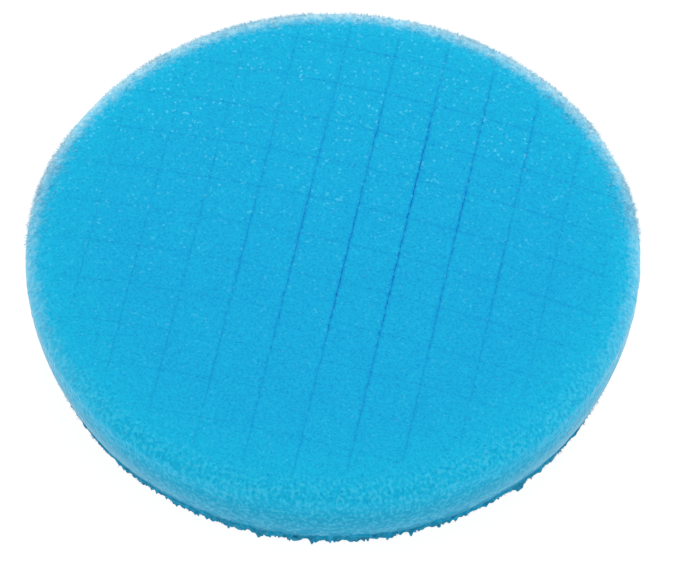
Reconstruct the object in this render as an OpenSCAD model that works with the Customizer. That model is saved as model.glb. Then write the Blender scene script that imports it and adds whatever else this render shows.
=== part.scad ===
// Round foam polishing pad: one piece of slit foam on a hook-and-loop backing.
// Millimetres. The origin is the centre of the loops' lowest plane, +Z points to the
// working face, and the straight slits run along Y.

/* [Foam] */
// Diameter of the foam at its widest ring
pad_d = 152.4; // [130:0.1:180]
// Diameter of the foam where it meets the backing
back_d = 143; // [141:0.5:152]
// Thickness of the whole pad, from the loops to the working face
pad_h = 27.4; // [23:0.1:34]
// Depth of the rounded edge below the working face
edge_drop = 4.4; // [2:0.1:7]
// Width of the rounded edge, in from the widest ring
edge_in = 8.6; // [4:0.1:14]
// How late the wall turns in below the widest ring; 1 is a straight wall
wall_bow = 1.9; // [1:0.1:3]

/* [Slits] */
// Spacing of the straight slits
slit_pitch = 12.7; // [9:0.1:20]
// Distance of the first straight slit from the centre
slit_shift = 3.9; // [-6:0.1:6]
// Spacing of the bowed slits that cross them
cross_pitch = 12.1; // [9:0.1:20]
// Distance of the top of the first bowed slit from the centre
cross_shift = 2.7; // [-6:0.1:6]
// Radius that the bowed slits follow
cross_r = 480; // [300:10:2000]
// Place of the top of each bow along X
cross_top = -38; // [-60:1:60]
// Width that a slit stands open
kerf = 0.4; // [0.2:0.1:1]
// Depth of the slits below the working face
slit_depth = 12; // [6:0.5:15]
// Uncut foam between a slit's end and the widest ring
slit_margin = 5.2; // [4:0.1:12]

/* [Backing] */
// Diameter of the loop cloth and of the film that bonds it
loop_d = 140; // [120:1:140]
// Height of the loops
pile_h = 1.3; // [0.8:0.1:2.5]
// Thickness of the knit that the loops stand on
knit_t = 0.5; // [0.3:0.1:1]
// Thickness of the bonding film
film_t = 0.2; // [0.1:0.1:0.5]

/* [Hidden] */
pad_r = pad_d / 2;
knit_z = pile_h;
film_z = knit_z + knit_t;
foam_z = film_z + film_t;
edge_z = pad_h - edge_drop;
edge_steps = 12;
wall_steps = 6;
slit_zone_r = pad_r - slit_margin;
slit_count = floor(slit_zone_r / slit_pitch);
cross_count = floor(slit_zone_r / cross_pitch);
// How far the slit tools stand above the face, so that they cut it cleanly
over = 5;
$fn = 128;

// One point on the rounded edge: t runs from 0 at the widest ring to 1 at the flat face
function edge_point(t) = [
    pad_r - edge_in + edge_in * cos(90 * t),
    edge_z + edge_drop * sin(90 * t)
];

// One point on the wall: t runs from 0 at the widest ring to 1 at the backing
function wall_point(t) = [
    pad_r - (pad_d - back_d) / 2 * pow(t, wall_bow),
    edge_z - (edge_z - foam_z) * t
];

// Foam disc before slitting: the wall bulges out to the widest ring, then rolls over
module foam_blank() {
    rotate_extrude()
        polygon(concat(
            [[0, foam_z]],
            [for (i = [wall_steps : -1 : 1]) wall_point(i / wall_steps)],
            [for (i = [0 : edge_steps]) edge_point(i / edge_steps)],
            [[0, pad_h]]
        ));
}

// One straight slit along Y
module straight_slit() {
    translate([-kerf / 2, -pad_r, 0])
        cube([kerf, pad_d, slit_depth + over]);
}

// One bowed slit: a thin ring whose highest point lies on the local origin
module bowed_slit() {
    translate([0, -cross_r, 0])
        difference() {
            cylinder(r = cross_r + kerf / 2, h = slit_depth + over);
            translate([0, 0, -over])
                cylinder(r = cross_r - kerf / 2, h = slit_depth + 3 * over);
        }
}

// Both families of slits, kept inside the rounded edge
module slits() {
    translate([0, 0, pad_h - slit_depth])
        intersection() {
            cylinder(r = slit_zone_r, h = slit_depth + over);
            union() {
                for (i = [-slit_count : slit_count])
                    translate([slit_shift + i * slit_pitch, 0, 0])
                        straight_slit();
                for (i = [-cross_count : cross_count])
                    translate([cross_top, cross_shift + i * cross_pitch, 0])
                        bowed_slit();
            }
        }
}

// A flat disc of the backing, from height z
module backing_disc(z, t) {
    translate([0, 0, z])
        cylinder(d = loop_d, h = t);
}

// Open-cell foam, one piece: its blocks stay joined below the slits
module foam_pad() {
    color([0.11, 0.64, 0.86])
        difference() {
            foam_blank();
            slits();
        }
}

// Heat-bonded adhesive film between the foam and the cloth
module bonding_film() {
    color([0.86, 0.87, 0.84])
        backing_disc(film_z, film_t);
}

// Ground knit of the loop cloth
module backing_knit() {
    color([0.80, 0.81, 0.82])
        backing_disc(knit_z, knit_t);
}

// Raised loops of the loop cloth, which hooks grip
module loop_pile() {
    color([0.90, 0.91, 0.92])
        backing_disc(0, pile_h);
}

foam_pad();
bonding_film();
backing_knit();
loop_pile();
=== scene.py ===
"""Looks of a round slit-foam polishing pad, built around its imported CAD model.

Lengths are in millimetres, and put() turns them into metres.
"""
import math

import bpy
import numpy as np
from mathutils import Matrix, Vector, noise
from mathutils.geometry import delaunay_2d_cdt


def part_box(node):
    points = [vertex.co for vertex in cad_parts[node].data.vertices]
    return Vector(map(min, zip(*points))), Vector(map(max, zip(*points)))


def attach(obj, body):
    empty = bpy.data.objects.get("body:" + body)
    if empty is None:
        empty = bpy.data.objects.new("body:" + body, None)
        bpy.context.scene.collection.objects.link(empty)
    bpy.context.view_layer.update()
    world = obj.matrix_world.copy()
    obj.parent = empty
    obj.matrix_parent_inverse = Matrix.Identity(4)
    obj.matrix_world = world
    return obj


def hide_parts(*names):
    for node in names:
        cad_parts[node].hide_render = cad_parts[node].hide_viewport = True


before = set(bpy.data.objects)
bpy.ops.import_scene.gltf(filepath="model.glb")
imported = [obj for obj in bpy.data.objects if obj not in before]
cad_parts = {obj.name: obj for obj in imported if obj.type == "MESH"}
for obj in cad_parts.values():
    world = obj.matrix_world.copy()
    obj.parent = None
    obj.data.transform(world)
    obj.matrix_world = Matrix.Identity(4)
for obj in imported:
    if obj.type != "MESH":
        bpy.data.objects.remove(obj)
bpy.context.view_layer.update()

MM = 0.001

# ---------------------------------------------------------------- sizes from the frame
foam_low, foam_high = (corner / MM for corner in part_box("foam_pad"))
film_low, film_high = (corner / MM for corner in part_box("bonding_film"))
knit_low, knit_high = (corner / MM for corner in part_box("backing_knit"))
pile_low, pile_high = (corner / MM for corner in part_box("loop_pile"))
PAD_R = foam_high.x
FOAM_Z = foam_low.z
FACE_Z = foam_high.z
CLOTH_R = film_high.x

# ---------------------------------------------------------------- the foam's own sizes
BACK_R = 71.5          # radius where the foam meets its backing
WALL_BOW = 1.9         # how late the wall turns in below the widest ring
EDGE_DROP = 4.4        # depth of the rolled-over edge
EDGE_IN = 8.6          # width of the rolled-over edge
EDGE_Z = FACE_Z - EDGE_DROP
FACE_R = PAD_R - EDGE_IN
RIM_FILLET = 0.7       # rounding of the lower rim
FAR_SIDE = Vector((-0.21, 0.975, 0))   # direction away from the camera; the painted sheen ring, the painted glints and the backlit strand tips are strongest there, more fuzz stands there, and the skirt tears deepest opposite it
GROWTH = 0.62          # a foam cell's width as a share of its length along Z, in which the foam rose

SLIT_PITCH = 12.7      # spacing of the straight slits
SLIT_SHIFT = 3.9       # X of the first one
CROSS_PITCH = 12.1     # spacing of the bowed slits
CROSS_SHIFT = 2.7      # Y of the first one, at the top of its bow
CROSS_R = 480.0        # radius that the bowed slits follow
CROSS_TOP = -38.0      # place of the top of each bow along X
SLIT_ZONE = 71.0       # radius that the slits reach
SLIT_DEPTH = 12.0
SLITS_EACH_WAY = 5
MOUTH = 0.040          # half the width of a slit that gapes fully
LEAST_MOUTH = 0.012    # half the width of a slit that is closed
STRAY = 0.12           # how far a cut strays from its line
WIDEST_AT = 16.0       # X near which the straight slits gape most
MOST_GAPE = 0.96       # how far they gape there, as a share of the full mouth
LEAST_GAPE = 0.14      # how far the outermost ones gape
END_GAPE = 0.45        # share of its own gape that a straight slit keeps near its ends
CROSS_GAPE = 0.135     # how far a bowed slit gapes in the middle of the pad
CROSS_CHANGE = 0.08    # how much more or less than that one gapes on either side

CROWN_R = 72.0         # inside this radius the foam's top is one triangulated height field
FACE_STEP = 0.76       # spacing of its points
LIP_ROOM = 0.30        # distance that its free points keep from a slit
ROUND = 920            # points round the rim
WALL_STEP = 0.5        # spacing of the wall's rings
TORN_RISE = 3.0        # how high the torn zone reaches up the wall

# Material slots of the foam body; the foam itself is slot 0
SLIT_SLOT = 1
TORN_SLOT = 2

rng = np.random.default_rng(7)


# ---------------------------------------------------------------- mesh helpers
def put(name, points, faces, material, smooth=True, sharp_deg=None):
    """A mesh object from points in millimetres."""
    mesh = bpy.data.meshes.new(name)
    mesh.from_pydata((np.asarray(points) * MM).tolist(), [], faces)
    mesh.validate()
    mesh.materials.append(material)
    if smooth:
        mesh.shade_smooth()
    if sharp_deg is not None:
        mesh.set_sharp_from_angle(angle=math.radians(sharp_deg))
    piece = bpy.data.objects.new(name, mesh)
    bpy.context.scene.collection.objects.link(piece)
    return piece


def point_values(piece, name, values):
    """Stores a number per point that the materials read. Points past the end of values get 0."""
    every = np.zeros(len(piece.data.vertices), np.float32)
    every[:len(values)] = values
    piece.data.attributes.new(name, "FLOAT", "POINT").data.foreach_set("value", every)


def ring_faces(rings, around, first=0):
    """Quads between rings of points that are stored one ring after the other."""
    faces = []
    for r in range(rings - 1):
        a = first + r * around
        b = a + around
        for i in range(around):
            j = (i + 1) % around
            faces.append((a + i, b + i, b + j, a + j))
    return faces


def smoothstep(low, high, x):
    """0 at low and 1 at high, with a smooth start and end. low may be the larger one."""
    t = np.clip((x - low) / (high - low), 0, 1)
    return t * t * (3 - 2 * t)


def noise_at(points, waves_per_mm, seed):
    """Smooth noise, from about -1 to 1, at each point."""
    shift = Vector((seed * 17.3, seed * 5.1, seed * 9.7))
    return np.array([noise.noise(Vector(p) * waves_per_mm + shift) for p in points])


def cells_at(points, cell_mm, seed):
    """Distance to the middle of the nearest foam cell, in cell widths."""
    shift = Vector((seed * 3.7, seed * 11.9, seed * 7.3))
    return np.array([noise.voronoi(Vector(p) / cell_mm + shift)[0][0] for p in points])


def pits_at(points, cell_mm, seed, reach, level):
    """Foam cells as dimples: -level in a cell's middle, and 1 - level from reach cell widths on."""
    return (np.minimum(cells_at(points, cell_mm, seed), reach) / reach) ** 2 - level


def circle(count):
    """Unit directions in the plan, evenly round the circle."""
    angle = np.arange(count) * 2 * math.pi / count
    return np.column_stack([np.cos(angle), np.sin(angle)])


def wander(t, seed, longest, octaves=5):
    """A wandering curve along t, from about -1 to 1: sines, each about half as long as the last."""
    own = np.random.default_rng(seed)
    total = np.zeros_like(t)
    weight = 0.0
    lift = 1.6         # sines that differ rarely peak together
    for octave in range(octaves):
        wave = longest / 1.9 ** octave * own.uniform(0.85, 1.15)
        share = 0.75 ** octave
        total = total + share * np.sin(2 * math.pi * (t / wave + own.random()))
        weight += share
    return total / weight * lift


# ---------------------------------------------------------------- slits
class Slit:
    """One slit in the face. A straight one runs along Y, a bowed one roughly along X."""

    def __init__(self, index, bowed):
        self.bowed = bowed
        seed = 400 + index + (50 if bowed else 0)
        t = np.arange(-SLIT_ZONE, SLIT_ZONE, FACE_STEP)
        if bowed:
            at = CROSS_SHIFT + index * CROSS_PITCH
            line = at - CROSS_R + np.sqrt(CROSS_R ** 2 - (t - CROSS_TOP) ** 2)
            most = np.full_like(t, CROSS_GAPE + CROSS_CHANGE * math.tanh((at + 8) / 15))
        else:
            at = SLIT_SHIFT + index * SLIT_PITCH
            line = np.full_like(t, at)
            # The open stretch lies further along Y the further the slit lies along X.
            open_stretch = 1 - smoothstep(30, 46, np.abs(t - 0.45 * at - 3))
            fade = 74 if at < WIDEST_AT else 53
            most = max(LEAST_GAPE, MOST_GAPE - abs(at - WIDEST_AT) / fade)
            most = most * (END_GAPE + (1 - END_GAPE) * open_stretch)
        self.run = t
        self.line = line + STRAY * wander(t, seed, longest=9.0, octaves=4)
        grain = 0.45 * wander(t, seed + 7, longest=4.0, octaves=4)
        swing = 0.18 * wander(t, seed + 9, longest=60.0, octaves=2)
        room = SLIT_ZONE - np.hypot(t, self.line)
        self.gape = most * np.clip(0.85 + grain + swing, 0.10, 1.25) * smoothstep(0.0, 6.0, room)

    def across(self, points):
        """For each plan point: distance from the centreline, and how far the slit gapes there."""
        t, side = (points[:, 0], points[:, 1]) if self.bowed else (points[:, 1], points[:, 0])
        return np.abs(side - np.interp(t, self.run, self.line)), np.interp(t, self.run, self.gape)

    def depth(self, points):
        """How far each point lies down the slit."""
        away, gape = self.across(points)
        inside = np.clip(1 - away / np.maximum(MOUTH * gape, LEAST_MOUTH), 0, 1)
        return SLIT_DEPTH * inside * smoothstep(0.02, 0.15, gape)

    def shade(self, points):
        """How dark the foam looks beside the slit, for each plan point."""
        away, gape = self.across(points)
        reach = 0.6 if self.bowed else 0.38
        return gape * np.clip(1 - (away - 0.12) / reach, 0, 1)

    def rows(self):
        """The two lips and the root, as three rows of plan points."""
        half = np.maximum(MOUTH * self.gape, LEAST_MOUTH)
        sides = [self.line - half, self.line, self.line + half]
        rows = [np.column_stack([self.run, s] if self.bowed else [s, self.run]) for s in sides]
        return [row[np.hypot(row[:, 0], row[:, 1]) < SLIT_ZONE] for row in rows]


slits = [Slit(index, bowed) for bowed in (False, True)
         for index in range(-SLITS_EACH_WAY, SLITS_EACH_WAY + 1)]


# ---------------------------------------------------------------- foam body
def crown_height(r):
    """Height of the foam's top before slitting, at radius r."""
    out = np.clip((r - FACE_R) / EDGE_IN, 0, 1)
    return EDGE_Z + EDGE_DROP * np.sqrt(1 - out ** 2)


def crown():
    """Plan points and triangles of the slit top, with the points of its outer ring."""
    row_step = FACE_STEP * (math.sqrt(3) / 2)
    jitter = 0.16
    x, y = np.meshgrid(np.arange(-CROWN_R, CROWN_R, FACE_STEP), np.arange(-CROWN_R, CROWN_R, row_step))
    x = x + (np.arange(len(x)) % 2)[:, None] * FACE_STEP / 2
    points = np.column_stack([x.ravel(), y.ravel()])
    points += rng.uniform(-jitter, jitter, points.shape)
    points = points[np.hypot(points[:, 0], points[:, 1]) < CROWN_R - 0.4]
    for slit in slits:
        points = points[slit.across(points)[0] > LIP_ROOM]
    # The slits' lips and roots and the outer ring are edges that the triangles must keep.
    chains = [row for slit in slits for row in slit.rows()]
    chains.append(CROWN_R * circle(ROUND))
    edges = []
    count = len(points)
    for chain in chains:
        edges += [(count + i, count + i + 1) for i in range(len(chain) - 1)]
        count += len(chain)
    edges.append((count - 1, count - ROUND))
    every = np.concatenate([points, *chains])
    out, _, faces, sources, _, _ = delaunay_2d_cdt([Vector(p) for p in every], edges, [], 0, 1e-4)
    place = {source: i for i, group in enumerate(sources) for source in group}
    ring = [place[count - ROUND + i] for i in range(ROUND)]
    return np.array([tuple(p) for p in out]), faces, ring


def rim_profile():
    """Radius, height and outward normal of each ring, from the crown over the edge to the back."""
    start = math.acos((CROWN_R - FACE_R) / EDGE_IN)
    edge_rings = 14
    turns = np.linspace(start, 0, edge_rings)[1:]
    line = [(FACE_R + EDGE_IN * math.cos(a), EDGE_Z + EDGE_DROP * math.sin(a)) for a in turns]
    wall = EDGE_Z - FOAM_Z - RIM_FILLET
    for share in np.linspace(0, 1, int(wall / WALL_STEP))[1:]:
        line.append((PAD_R + (BACK_R - PAD_R) * share ** WALL_BOW, EDGE_Z - wall * share))
    for a in np.radians([25, 55, 90]):
        line.append((BACK_R - RIM_FILLET * (1 - math.cos(a)), FOAM_Z + RIM_FILLET * (1 - math.sin(a))))
    back_step = 0.6
    under_cloth = 1.5  # how far the rings run in under the cloth
    for r in np.arange(BACK_R - RIM_FILLET - back_step, CLOTH_R - under_cloth, -back_step):
        line.append((r, FOAM_Z))
    line = np.array(line)
    along = np.gradient(line, axis=0)
    normal = np.column_stack([-along[:, 1], along[:, 0]])
    return line, normal / np.linalg.norm(normal, axis=1)[:, None]


def foam_top():
    """The slit top: points, faces, outer ring, and each point's depth in a slit and shade beside one."""
    plan, faces, ring = crown()
    radius = np.hypot(plan[:, 0], plan[:, 1])
    sunk = np.max([slit.depth(plan) for slit in slits], axis=0)
    shade = np.max([slit.shade(plan) for slit in slits], axis=0)
    points = np.column_stack([plan, crown_height(radius)])
    lumps = 0.05 * noise_at(points, 0.09, 3) + 0.02 * noise_at(points, 0.35, 5)
    rough = 0.03 + 0.07 * smoothstep(FACE_R - 4, CROWN_R, radius)
    pits = pits_at(points, 1.1, 1, reach=0.7, level=0.45) * rough
    # The top is lowered by 0.05, so that its relief hardly stands above the pad's height.
    points[:, 2] += np.where(sunk < 0.05, lumps + pits, 0) - sunk - 0.05
    return points, faces, ring, sunk, shade


def foam_rim():
    """The edge, wall and back as rings of rough points, with each point's height before roughening."""
    line, normal = rim_profile()
    out = circle(ROUND)
    rim = np.concatenate([np.column_stack([out * r, np.full(ROUND, z)]) for r, z in line])
    # Each point moves along its outward normal.
    push = np.concatenate([np.column_stack([out * n[0], np.full(ROUND, n[1])]) for n in normal])
    height = rim[:, 2]
    wall = smoothstep(FACE_Z - 0.6, EDGE_Z, height)
    low_wall = smoothstep(EDGE_Z - 2, EDGE_Z - 10, height)
    clear_of_cloth = smoothstep(0.0, 0.3, np.hypot(rim[:, 0], rim[:, 1]) - CLOTH_R)
    grown = rim * [1, 1, GROWTH]
    coarse = pits_at(grown, 1.25, 2, reach=0.75, level=0.5) * (0.08 - 0.05 * low_wall)
    fine = pits_at(grown, 0.8, 4, reach=0.7, level=0.5) * 0.08 * (1 - wall)
    lumps = (0.16 - 0.10 * low_wall) * noise_at(rim, 0.5, 6)
    torn_out = smoothstep(FOAM_Z + TORN_RISE, FOAM_Z, height) * np.clip(noise_at(rim, 0.55, 8) - 0.02, 0, 1)
    shift = (lumps - coarse - fine + 0.8 * torn_out) * clear_of_cloth
    return rim + push * shift[:, None], height, len(line)


def foam_body(material, slit_material, torn_material):
    """The whole foam as one closed mesh: slit top, rolled edge, rough wall and back."""
    top, faces, ring, sunk, shade = foam_top()
    rim, height, rings = foam_rim()
    first = len(top)
    last = first + (rings - 1) * ROUND
    points = np.concatenate([top, rim, [[0, 0, FOAM_Z]]])
    centre = len(points) - 1
    for i in range(ROUND):
        j = (i + 1) % ROUND
        faces.append((ring[i], first + i, first + j, ring[j]))
    faces += ring_faces(rings, ROUND, first)
    faces += [(last + (i + 1) % ROUND, last + i, centre) for i in range(ROUND)]
    piece = put("foam_body", points, faces, material, sharp_deg=60)
    piece.data.materials.append(slit_material)
    piece.data.materials.append(torn_material)
    torn_top = FOAM_Z + TORN_RISE + 3.5 * noise_at(rim, 0.30, 14)
    ragged = height < torn_top + rng.uniform(-2.2, 2.2, len(rim))
    slots = np.concatenate([np.where(sunk > 0.3, SLIT_SLOT, 0), np.where(ragged, TORN_SLOT, 0),
                            [TORN_SLOT]])
    # A face takes the highest slot among its points, so a slit's wall and a torn point win over foam.
    for face in piece.data.polygons:
        face.material_index = int(slots[list(face.vertices)].max())
    point_values(piece, "slit_shade", shade)
    return piece


# ---------------------------------------------------------------- strands and loops
def tubes(lines, radii, sides):
    """Closed thin tubes. lines is strands by points by 3, radii is strands by points."""
    count, steps, _ = lines.shape
    along = np.gradient(lines, axis=1)
    along /= np.linalg.norm(along, axis=2)[..., None] + 1e-12
    helper = np.where(np.abs(along[..., 2:3]) > 0.8, [1.0, 0.0, 0.0], [0.0, 0.0, 1.0])
    side = np.cross(along, helper)
    side /= np.linalg.norm(side, axis=2)[..., None] + 1e-12
    up = np.cross(along, side)
    turn = np.arange(sides) * 2 * math.pi / sides
    ring = side[:, :, None] * np.cos(turn)[:, None] + up[:, :, None] * np.sin(turn)[:, None]
    points = (lines[:, :, None] + ring * radii[:, :, None, None]).reshape(-1, 3)
    faces = []
    for s in range(count):
        base = s * steps * sides
        faces += [(a, d, c, b) for a, b, c, d in ring_faces(steps, sides, base)]
        faces.append(tuple(base + i for i in range(sides)))
        faces.append(tuple(base + (steps - 1) * sides + i for i in reversed(range(sides))))
    return points, faces


def wall_radius(z):
    """Radius of the foam's wall at height z."""
    share = np.clip((EDGE_Z - z) / (EDGE_Z - FOAM_Z), 0, 1)
    return PAD_R + (BACK_R - PAD_R) * share ** WALL_BOW


def on_rim(angle, z):
    """Points on the wall and the rolled-over edge, and the rough outward direction at each."""
    lift = np.clip((z - EDGE_Z) / EDGE_DROP, 0, 1)
    flat = np.sqrt(1 - lift ** 2)
    r = np.where(z < EDGE_Z, wall_radius(z), FACE_R + EDGE_IN * flat)
    places = np.column_stack([np.cos(angle) * r, np.sin(angle) * r, z])
    return places, np.column_stack([np.cos(angle) * flat, np.sin(angle) * flat, lift])


def torn_strands(material, name, count, length, thick, clumps, heights, droop, far_bias):
    """Broken cell walls that stand out of the rim between two heights, in clumps.

    The higher far_bias is, the more of them stand on the far side, away from the camera.
    """
    rooted = 0.1       # how deep they start in the foam
    angle = rng.uniform(0, 2 * math.pi, count * 3)
    spots = PAD_R * np.column_stack([np.cos(angle), np.sin(angle), np.zeros(len(angle))])
    dense = noise_at(spots, clumps, 12) + rng.uniform(-0.5, 0.5, len(angle))
    dense += far_bias * np.clip(spots @ FAR_SIDE, -60, 10)
    angle = angle[np.argsort(-dense)[:count]]
    z = rng.uniform(*heights, count)
    places, aim = on_rim(angle, z)
    aim[:, 2] -= droop
    root = places - rooted * aim
    aim = aim + rng.normal(0, 0.45, (count, 3))
    aim /= np.linalg.norm(aim, axis=1)[:, None]
    curl = rng.normal(0, 0.25, (count, 3))
    long = length * rng.uniform(0.5, 1.25, count)
    t = np.linspace(0, 1, 3)
    bend = aim[:, None] * t[:, None] + curl[:, None] * (t ** 2)[:, None]
    lines = root[:, None] + bend * long[:, None, None]
    lines[..., 2] = np.clip(lines[..., 2], 0.15, FACE_Z)
    radii = thick * rng.uniform(0.6, 1.3, (count, 1)) * (1 - 0.75 * t)[None, :]
    sides = 3
    points, faces = tubes(lines, radii, sides)
    piece = put(name, points, faces, material)
    point_values(piece, "tip", np.repeat(np.tile(t, count), sides))
    return piece


def torn_skirt(material, name, inset, seed):
    """A ragged band that is torn loose from the lower wall and hangs below it, as a thin closed ring."""
    around = 1800
    out = circle(around)
    ring = np.column_stack([out * BACK_R, np.zeros(around)])
    # The tear is deepest on the side towards the camera, away from the far side.
    deep = 0.35 + 0.65 * smoothstep(0.5, 0.9, out @ -FAR_SIDE.xy)
    lumps = noise_at(ring, 0.30, seed)
    teeth = noise_at(ring, 0.85, seed + 1)
    spikes = np.clip(noise_at(ring, 1.4, seed + 2) - 0.12, 0, 1)
    swell = 0.30 * noise_at(ring, 0.6, seed + 3)
    hang = np.clip(deep * (0.3 + 1.0 * lumps + 1.2 * teeth + 2.2 * spikes), 0.02, FOAM_Z - 0.3)
    rise = 1.6 + 3.0 * noise_at(ring, 0.22, seed + 4) + 1.8 * noise_at(ring, 0.9, seed + 5)
    rise = np.clip(deep * rise, 0.6, 4.5)
    loose = wall_radius(FOAM_Z + rise) - inset
    low = BACK_R - inset
    # Radius and height of each row: inside the wall, out of it, down to the teeth and back up inside.
    rows = [(loose - 0.3, FOAM_Z + rise + 0.8),
            (loose + 0.12, FOAM_Z + rise),
            (low + 0.35 + 1.5 * swell, np.full(around, FOAM_Z + 0.5)),
            (low + 0.15 + swell + 0.25 * hang, FOAM_Z - hang),
            (low - 0.30 + swell, FOAM_Z + 0.2 - 0.3 * hang),
            (np.full(around, low - 0.75), np.full(around, FOAM_Z + 0.9))]
    points = np.concatenate([np.column_stack([out * r[:, None], z]) for r, z in rows])
    faces = ring_faces(len(rows), around)
    last = (len(rows) - 1) * around
    for i in range(around):
        j = (i + 1) % around
        faces.append((last + i, i, j, last + j))
    return put(name, points, faces, material, sharp_deg=70)


def loop_pile(material):
    """The nylon loops of the backing, each one an arch that leans its own way."""
    wale, course = 1.72, 1.68   # spacing of the loops along X and along Y
    thread = 0.1                # radius of the nylon
    steps = 7                   # points along one loop
    x, y = np.meshgrid(np.arange(-CLOTH_R, CLOTH_R, wale), np.arange(-CLOTH_R, CLOTH_R, course))
    x = x + (np.arange(len(x)) % 2)[:, None] * wale / 2
    foot = np.column_stack([x.ravel(), y.ravel()]) + rng.uniform(-0.28, 0.28, (x.size, 2))
    foot = foot[np.hypot(foot[:, 0], foot[:, 1]) < CLOTH_R - 1.1]
    count = len(foot)
    turn = rng.uniform(0, math.pi, count)
    width = rng.uniform(0.75, 1.25, count)
    tall = (pile_high.z - pile_low.z - 0.12) * rng.uniform(0.72, 1.0, count)
    lean = rng.normal(0, 0.42, (count, 2))
    t = np.linspace(0, 1, steps)
    arch = np.sin(math.pi * t) ** 0.75
    swing = np.cos(math.pi * t) * (1 + 0.35 * np.sin(math.pi * t))
    flat = np.column_stack([np.cos(turn), np.sin(turn)]) * width[:, None] / 2
    plan = foot[:, None] + flat[:, None] * swing[:, None] + lean[:, None] * arch[:, None]
    z = pile_high.z + 0.05 - tall[:, None] * arch
    lines = np.concatenate([plan, z[..., None]], axis=2)
    radii = np.full((count, steps), thread) * rng.uniform(0.8, 1.15, (count, 1))
    points, faces = tubes(lines, radii, sides=3)
    return put("nylon_loops", points, faces, material)


def disc(name, low, high, material, edge_wave, dimple=0.0):
    """A closed disc with a slightly wavy outline, and with dimple a weave on its lower face."""
    around = 420
    radii = np.linspace(CLOTH_R, 0.8, 90)
    out = circle(around)
    along = np.arange(around) * 2 * math.pi / around * CLOTH_R
    wave = 1 + edge_wave * wander(along, 31, longest=60.0)[:, None] / CLOTH_R
    upper = [np.column_stack([out * r * wave, np.full(around, high)]) for r in radii[::-1]]
    lower = [np.column_stack([out * r * wave, np.full(around, low)]) for r in radii]
    for ring in lower:
        ring[:, 2] += dimple * np.sin(ring[:, 0] * 3.8) * np.sin(ring[:, 1] * 3.9)
    points = np.concatenate([*upper, *lower])
    faces = ring_faces(2 * len(radii), around)
    faces.append(tuple(range(around)))
    faces.append(tuple(len(points) - 1 - i for i in range(around)))
    return put(name, points, faces, material, sharp_deg=50)


# ---------------------------------------------------------------- materials
class Paint:
    """A node material that is written as a chain of calls."""

    def __init__(self, name, **sockets):
        self.material = bpy.data.materials.new(name)
        self.material.use_nodes = True
        self.tree = self.material.node_tree
        self.shader = self.tree.nodes["Principled BSDF"]
        for socket, value in sockets.items():
            self.shader.inputs[socket.replace("_", " ")].default_value = value
        metres = self.make("ShaderNodeTexCoord", output="Object")
        self.place = self.make("ShaderNodeVectorMath", [metres, (1 / MM,) * 3], operation="MULTIPLY")

    def make(self, kind, inputs=(), output=0, **settings):
        """Adds a node, sets or links its inputs and returns one output."""
        node = self.tree.nodes.new(kind)
        for name, value in settings.items():
            setattr(node, name, value)
        pairs = inputs.items() if isinstance(inputs, dict) else enumerate(inputs)
        for key, value in pairs:
            if isinstance(value, bpy.types.NodeSocket):
                self.tree.links.new(value, node.inputs[key])
            else:
                node.inputs[key].default_value = value
        return node.outputs[output]

    def math(self, operation, a, b):
        """Works out one number from two."""
        return self.make("ShaderNodeMath", [a, b], operation=operation)

    def span(self, value, low, high, to_low=0.0, to_high=1.0):
        """Maps low..high to to_low..to_high, smoothly and clamped."""
        inputs = [value, low, high, to_low, to_high]
        return self.make("ShaderNodeMapRange", inputs, interpolation_type="SMOOTHSTEP")

    def noise(self, waves_per_mm, detail=3.0, rough=0.55):
        """Smooth noise, mostly from 0.3 to 0.7."""
        inputs = {"Vector": self.place, "Scale": waves_per_mm, "Detail": detail, "Roughness": rough}
        return self.make("ShaderNodeTexNoise", inputs)

    def cells(self, cell_mm, output="Distance"):
        """Distance to the middle of the nearest cell, or with Color a random colour for each cell."""
        return self.make("ShaderNodeTexVoronoi", {"Vector": self.place, "Scale": 1 / cell_mm}, output)

    def mix(self, share, a, b):
        """Blends two colours. The Mix node's colours are its inputs 6 and 7 and its output 2."""
        return self.make("ShaderNodeMix", {0: share, 6: a, 7: b}, 2, data_type="RGBA")

    def values(self, name):
        """The numbers that point_values() stored, and 0 on a piece that has none."""
        return self.make("ShaderNodeAttribute", output="Fac", attribute_name=name)

    def finish(self, color, height, distance_mm, strength):
        """Links the colour, and the relief as a bump, and returns the material."""
        inputs = {"Strength": strength, "Distance": distance_mm * MM, "Height": height}
        self.tree.links.new(color, self.shader.inputs["Base Color"])
        self.tree.links.new(self.make("ShaderNodeBump", inputs), self.shader.inputs["Normal"])
        return self.material


def srgb(r, g, b):
    """A linear colour from 0-255 display values."""
    values = [v / 255 for v in (r, g, b)]
    return tuple(v / 12.92 if v <= 0.04045 else ((v + 0.055) / 1.055) ** 2.4 for v in values) + (1.0,)


# The tones that the materials blend between.
FUZZ = srgb(235, 247, 250)
FACE_BLUE = srgb(12, 161, 212)
NEAR_EDGE_BLUE = srgb(12, 173, 215)
FAR_SIDE_BLUE = srgb(14, 177, 217)
CLOUD_BLUE = srgb(16, 178, 219)
HOLLOW_BLUE = srgb(6, 137, 203)
ROLL_PAINTED_LIGHT = srgb(12, 186, 226)
PORE_BLUE = srgb(38, 191, 226)
GLINT = srgb(100, 211, 241)
DARK_CELL = srgb(2, 105, 190)
WALL_SHADE_BLUE = srgb(3, 154, 192)
WALL_GRAIN_AND_SHEEN = srgb(90, 205, 234)
WALL_GAP = srgb(3, 138, 188)
PAINTED_SHEEN_RING = srgb(196, 233, 245)
LOW_WALL_SHADE = srgb(14, 138, 178)
BACKLIT_TIP = srgb(185, 226, 240)
SLIT_SHADE = srgb(0, 98, 196)
TORN_TOP = srgb(5, 150, 190)
TORN_LOW_SHADE = srgb(24, 114, 148)
TORN_PALE = srgb(70, 186, 216)
SLIT_SHADE_DARKER = srgb(0, 92, 190)
SLIT_SHADE_LIGHTER = srgb(2, 112, 205)
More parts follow.
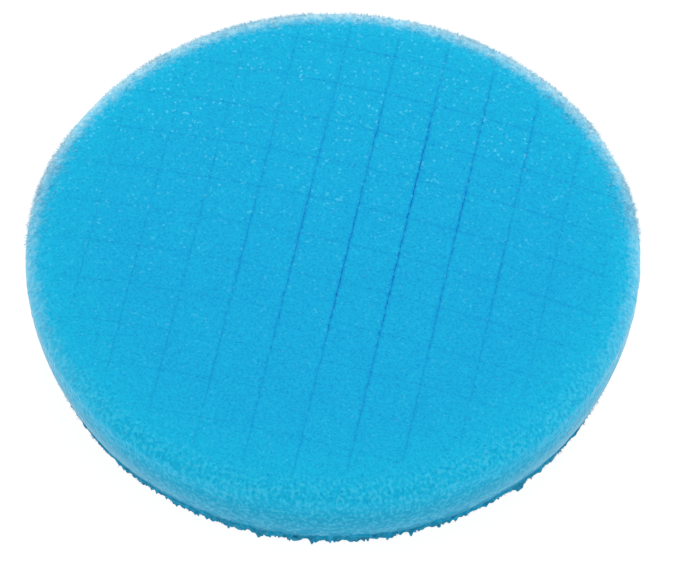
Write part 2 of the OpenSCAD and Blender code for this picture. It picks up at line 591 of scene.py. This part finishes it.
FILM_TONES = srgb(214, 216, 208), srgb(228, 229, 222)
KNIT_TONES = srgb(168, 172, 176), srgb(214, 217, 219)
PILE_TONES = srgb(212, 216, 220), srgb(238, 240, 242)

FOAM_ROUGHNESS = 0.95
FUZZ_ROUGHNESS = 0.26
PORE_MM = 0.62         # width of a foam cell


def face_color(p, side, far_bias, outer, pore, fine):
    """The face and the roll: clouds, hollows and pores, brighter towards the edge and the far side, and
    with painted light on the roll.
    """
    clouds = p.noise(0.14, 4.0, 0.6)
    body = p.mix(p.span(far_bias, 50, 74), FACE_BLUE, NEAR_EDGE_BLUE)
    # Brighter towards the far side, away from the camera
    body = p.mix(p.span(side, -15, 60, 0.0, 0.5), body, FAR_SIDE_BLUE)
    body = p.mix(p.span(clouds, 0.36, 0.64, 0.0, 0.30), body, CLOUD_BLUE)
    body = p.mix(p.math("MULTIPLY", fine, p.span(outer, 0, 1, 0.40, 0.60)), body, HOLLOW_BLUE)
    # Painted light: the rolled edge, whose normals tilt away from the lamps, is brightened in its colour
    body = p.mix(p.span(far_bias, 66, 76, 0.0, 0.45), body, ROLL_PAINTED_LIGHT)
    return p.mix(p.math("MULTIPLY", pore, p.span(outer, 0, 1, 0.26, 0.36)), body, PORE_BLUE)


def odd_cells(p, body, side):
    """A few broken cell walls painted with a glint, a painted highlight, more of them on the far side, and
    a few dark cells.
    """
    chance = p.make("ShaderNodeSeparateColor", [p.cells(0.55, "Color")])
    patches = p.span(p.noise(0.10, 2.0), 0.35, 0.65, 0.5, 1.0)
    glint = p.math("MULTIPLY", p.span(chance, 0.930, 0.995), patches)
    glint = p.math("MULTIPLY", glint, p.span(side, -35, 60, 0.16, 0.60))
    # Painted highlight on the glinting cells
    body = p.mix(glint, body, GLINT)
    return p.mix(p.span(chance, 0.06, 0.01, 0.0, 0.22), body, DARK_CELL)


def wall_color(p, body, depth, outer, grain):
    """Painted shade: the wall is a little greyer and darker the deeper it lies below the widest ring. Pale
    cells cover it, which are grain and painted sheen in one.
    """
    # Painted shade, deeper down the wall
    body = p.mix(depth, body, WALL_SHADE_BLUE)
    # Pale cells: grain and painted sheen in one
    pale = p.math("MULTIPLY", p.span(grain, 0.47, 0.66), p.span(outer, 0.45, 1.0, 0.0, 0.33))
    body = p.mix(pale, body, WALL_GRAIN_AND_SHEEN)
    gap = p.math("MULTIPLY", p.span(grain, 0.50, 0.34), p.span(outer, 0.45, 1.0, 0.0, 0.24))
    return p.mix(gap, body, WALL_GAP)


def painted_sheen_ring(p, body, side, far_bias, z):
    """Painted sheen: a pale ring along the edge, strongest on the far side, where the rim is seen at a
    grazing angle; it fades with an uneven border on its way down the wall.
    """
    ring = p.math("MULTIPLY", p.span(far_bias, PAD_R - 4.2, PAD_R + 1.4), p.span(side, -58, 42))
    ring = p.math("MULTIPLY", ring, p.span(p.noise(1.0), 0.30, 0.60, 0.4, 0.85))
    above = p.math("SUBTRACT", z, p.span(side, 0, 65, EDGE_Z - 4.5, EDGE_Z - 1))
    above = p.math("ADD", above, p.span(p.noise(0.35), 0.3, 0.7, -1.5, 1.5))
    ring = p.math("MULTIPLY", ring, p.span(above, 0.0, 3.5, 0.06, 1.0))
    return p.mix(ring, body, PAINTED_SHEEN_RING)


def foam_paint():
    """Open-cell foam: pores, hollows and a few broken cell walls with painted glints; paler at the rim from
    a painted sheen ring, coarser there, and with painted shade low on the wall.
    """
    p = Paint("foam", Roughness=FOAM_ROUGHNESS, Sheen_Weight=0.68, Sheen_Roughness=FUZZ_ROUGHNESS,
              Specular_IOR_Level=0.08)
    p.shader.inputs["Sheen Tint"].default_value = FUZZ
    flat = p.make("ShaderNodeVectorMath", [p.place, (1, 1, 0)], operation="MULTIPLY")
    radius = p.make("ShaderNodeVectorMath", [flat], "Value", operation="LENGTH")
    z = p.make("ShaderNodeSeparateXYZ", [p.place], "Z")
    # How far a place lies towards the far side, away from the camera
    side = p.make("ShaderNodeVectorMath", [p.place, FAR_SIDE], "Value", operation="DOT_PRODUCT")
    # The patterns below are stretched along Z, as the cells are.
    p.place = p.make("ShaderNodeVectorMath", [p.place, (1, 1, GROWTH)], operation="MULTIPLY")
    # The radius, but further out on the far side, so that the painted sheen ring is wider there
    far_bias = p.math("ADD", radius, p.span(side, 0, 70, 0.0, 2.2))
    far_bias = p.math("ADD", far_bias, p.span(p.noise(0.7, 3.0, 0.6), 0.3, 0.7, -0.9, 0.9))
    # 0 above the widest ring and 1 low on the wall; then 0 on the face and 1 on the rim and the wall
    depth = p.span(z, EDGE_Z + 3, EDGE_Z - 9)
    outer = p.math("MAXIMUM", p.span(far_bias, 64, 76), depth)
    # Three sizes of texture, which both the colour and the relief use
    pore = p.span(p.cells(PORE_MM), 0.12, 0.62)
    fine = p.span(p.noise(1.25, 2.5, 0.6), 0.32, 0.68)
    grain = p.noise(1.15, 2.0, 0.5)

    body = face_color(p, side, far_bias, outer, pore, fine)
    body = odd_cells(p, body, side)
    body = wall_color(p, body, depth, outer, grain)
    body = painted_sheen_ring(p, body, side, far_bias, z)
    # Painted shade: darker, uneven patches towards the foot of the wall, near the floor
    spots = p.span(p.noise(0.6), 0.35, 0.65, 0.10, 0.55)
    body = p.mix(p.math("MULTIPLY", p.span(z, FOAM_Z + 4.0, FOAM_Z), spots), body, LOW_WALL_SHADE)
    # Painted light: the strands' tips are paler, as thin fibres that light shines through, more so on the
    # far side
    tip = p.math("MULTIPLY", p.values("tip"), p.span(side, -60, 10, 0.05, 0.8))
    body = p.mix(tip, body, BACKLIT_TIP)
    body = p.mix(p.math("MULTIPLY", p.values("slit_shade"), 0.55), body, SLIT_SHADE)

    # The fine relief fades down the wall, and the coarse one grows towards the rim.
    relief = p.math("ADD", pore, p.math("MULTIPLY", fine, 0.6))
    relief = p.math("MULTIPLY", relief, p.span(depth, 0.0, 0.6, 1.0, 0.25))
    coarse = p.math("MULTIPLY", p.span(outer, 0.3, 1.0, 0.0, 2.6), p.span(depth, 0.0, 1.0, 1.0, 0.5))
    relief = p.math("ADD", relief, p.math("MULTIPLY", grain, coarse))
    return p.finish(body, relief, 0.14, 0.7)


def torn_paint():
    """The foam's torn lower edge: darker, with painted shade that deepens towards the floor, and with
    hardly any fuzz.
    """
    p = Paint("torn_foam", Roughness=FOAM_ROUGHNESS, Sheen_Weight=0.20, Sheen_Roughness=FUZZ_ROUGHNESS,
              Specular_IOR_Level=0.08)
    z = p.make("ShaderNodeSeparateXYZ", [p.place], "Z")
    uneven = p.span(p.noise(0.5), 0.35, 0.65, 0.4, 1.0)
    # Painted shade: the torn foam darkens towards the floor
    low = p.math("MULTIPLY", p.span(z, FOAM_Z + 6.0, FOAM_Z - 0.5), uneven)
    color = p.mix(low, TORN_TOP, TORN_LOW_SHADE)
    color = p.mix(p.span(p.noise(0.95, 2.0, 0.5), 0.47, 0.66, 0.0, 0.3), color, TORN_PALE)
    return p.finish(color, p.cells(PORE_MM), 0.1, 0.5)


def slit_paint():
    """The slits' walls: the same foam, fresh cut and with no fuzz, and painted a darker blue as shade
    inside the slit.
    """
    p = Paint("slit_wall", Roughness=FOAM_ROUGHNESS, Specular_IOR_Level=0.05)
    # Painted shade: both tones are darker than the foam of the face
    color = p.mix(p.span(p.noise(1.2), 0.3, 0.7), SLIT_SHADE_DARKER, SLIT_SHADE_LIGHTER)
    return p.finish(color, p.cells(PORE_MM), 0.1, 0.5)


def film_paint():
    """A milky adhesive film, faintly cloudy."""
    p = Paint("film", Roughness=0.45, Specular_IOR_Level=0.4)
    color = p.mix(p.span(p.noise(0.5), 0.35, 0.65), *FILM_TONES)
    return p.finish(color, p.noise(2.0, 2.0), 0.05, 0.4)


def knit_paint():
    """A ground knit: wales one way and courses the other."""
    p = Paint("knit", Roughness=0.85, Sheen_Weight=0.3, Specular_IOR_Level=0.3)
    threads = {"Vector": p.place, "Scale": 0.38}
    wales = p.make("ShaderNodeTexWave", threads | {"Distortion": 1.2, "Detail": 1.0})
    courses = p.make("ShaderNodeTexWave", threads | {"Distortion": 1.0}, bands_direction="Y")
    weave = p.math("MULTIPLY", wales, courses)
    return p.finish(p.mix(p.span(weave, 0.1, 0.8), *KNIT_TONES), weave, 0.15, 0.8)


def pile_paint():
    """Off-white nylon loops with an uneven tone."""
    p = Paint("pile", Roughness=0.55, Sheen_Weight=0.4, Specular_IOR_Level=0.45)
    tone = p.mix(p.span(p.noise(0.35), 0.35, 0.65), *PILE_TONES)
    return p.finish(tone, p.noise(6.0, 1.0), 0.04, 0.5)


# ---------------------------------------------------------------- build the object
foam = foam_paint()
torn = torn_paint()
body = foam_body(foam, slit_paint(), torn)
skirts = [torn_skirt(torn, f"torn_skirt_{i + 1}", 0.45 * i, 40 + 10 * i) for i in range(3)]
fringe = torn_strands(torn, "torn_fringe", count=1500, length=0.7, thick=0.09, clumps=0.30,
                      heights=(FOAM_Z, FOAM_Z + 0.9), droop=0.5, far_bias=0.0)
edge_fuzz = torn_strands(foam, "edge_fuzz", count=9000, length=1.0, thick=0.05, clumps=0.08,
                         heights=(EDGE_Z - 1, FACE_Z - 0.15), droop=0.0, far_bias=0.03)
film = disc("film_disc", film_low.z, film_high.z, film_paint(), edge_wave=0.25)
knit = disc("knit_ground", knit_low.z, knit_high.z, knit_paint(), edge_wave=0.3, dimple=0.06)
loops = loop_pile(pile_paint())

for piece, node, slot in ((body, "foam_pad", "foam"), (film, "bonding_film", "film"),
                          (knit, "backing_knit", "knit"), (loops, "loop_pile", "pile")):
    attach(piece, "root")
    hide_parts(node)
for piece in (*skirts, fringe, edge_fuzz):
    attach(piece, "root")


# ---------------------------------------------------------------- floor, light and camera
AZIMUTH = math.radians(11.0)       # the camera stands this far round from -Y towards +X
ELEVATION = math.radians(52.8)     # and looks down at this angle
DISTANCE = 1.996                   # from the camera to the point it looks at
LENS = 424
AIM_RIGHT, AIM_DOWN = 0.00237, 0.0091   # that point, seen from the middle of the face
WORLD_LIGHT = 0.73

# Name, place, diameter and watts. Each lamp looks at the pad.
LAMPS = (("key", (0.15, 0.7, 1.2), 1.0, 6.2),
         ("right", (1.3, -0.3, 0.5), 0.8, 2.6),
         ("left", (-1.3, -0.3, 0.5), 0.8, 2.6),
         ("front", (0.0, -1.3, 0.7), 0.8, 1.2),
         ("back", (0.0, 1.5, 0.4), 0.8, 3.6))


def floor():
    """A large sheet of white paper under the pad."""
    paper = Paint("floor", Roughness=0.9, Specular_IOR_Level=0.0, Emission_Strength=0.85)
    paper.shader.inputs["Base Color"].default_value = (0.3, 0.3, 0.3, 1)
    paper.shader.inputs["Emission Color"].default_value = (1, 1, 1, 1)
    half = 4000.0
    corners = [(-half, -half, 0), (half, -half, 0), (half, half, 0), (-half, half, 0)]
    return put("floor", corners, [(0, 1, 2, 3)], paper.material, smooth=False)


def soft_light(name, place, size, watts):
    """A round area light."""
    data = bpy.data.lights.new(name, "AREA")
    data.shape = "DISK"
    data.size = size
    data.energy = watts
    lamp = bpy.data.objects.new(name, data)
    lamp.location = place
    lamp.rotation_euler = (-Vector(place)).to_track_quat("-Z", "Y").to_euler()
    bpy.context.scene.collection.objects.link(lamp)


def white_world():
    """Even white light from all round."""
    world = bpy.data.worlds.new("studio")
    world.use_nodes = True
    background = world.node_tree.nodes["Background"]
    background.inputs["Color"].default_value = (1, 1, 1, 1)
    background.inputs["Strength"].default_value = WORLD_LIGHT
    bpy.context.scene.world = world


def camera():
    """A long lens, nearly square-on to the slits, looking down on the face."""
    back = Vector((math.sin(AZIMUTH) * math.cos(ELEVATION), -math.cos(AZIMUTH) * math.cos(ELEVATION),
                   math.sin(ELEVATION)))
    right = Vector((math.cos(AZIMUTH), math.sin(AZIMUTH), 0))
    up = back.cross(right)
    target = Vector((0, 0, FACE_Z * MM)) + right * AIM_RIGHT - up * AIM_DOWN
    data = bpy.data.cameras.new("camera")
    data.sensor_width = 36
    data.lens = LENS
    data.clip_start = 0.1
    data.clip_end = 20
    eye = bpy.data.objects.new("camera", data)
    eye.rotation_mode = "QUATERNION"
    eye.location = target + back * DISTANCE
    eye.rotation_quaternion = (-back).to_track_quat("-Z", "Y")
    bpy.context.scene.collection.objects.link(eye)
    bpy.context.scene.camera = eye


floor()
for lamp in LAMPS:
    soft_light(*lamp)
white_world()
bpy.context.scene.view_settings.view_transform = "Standard"
camera()
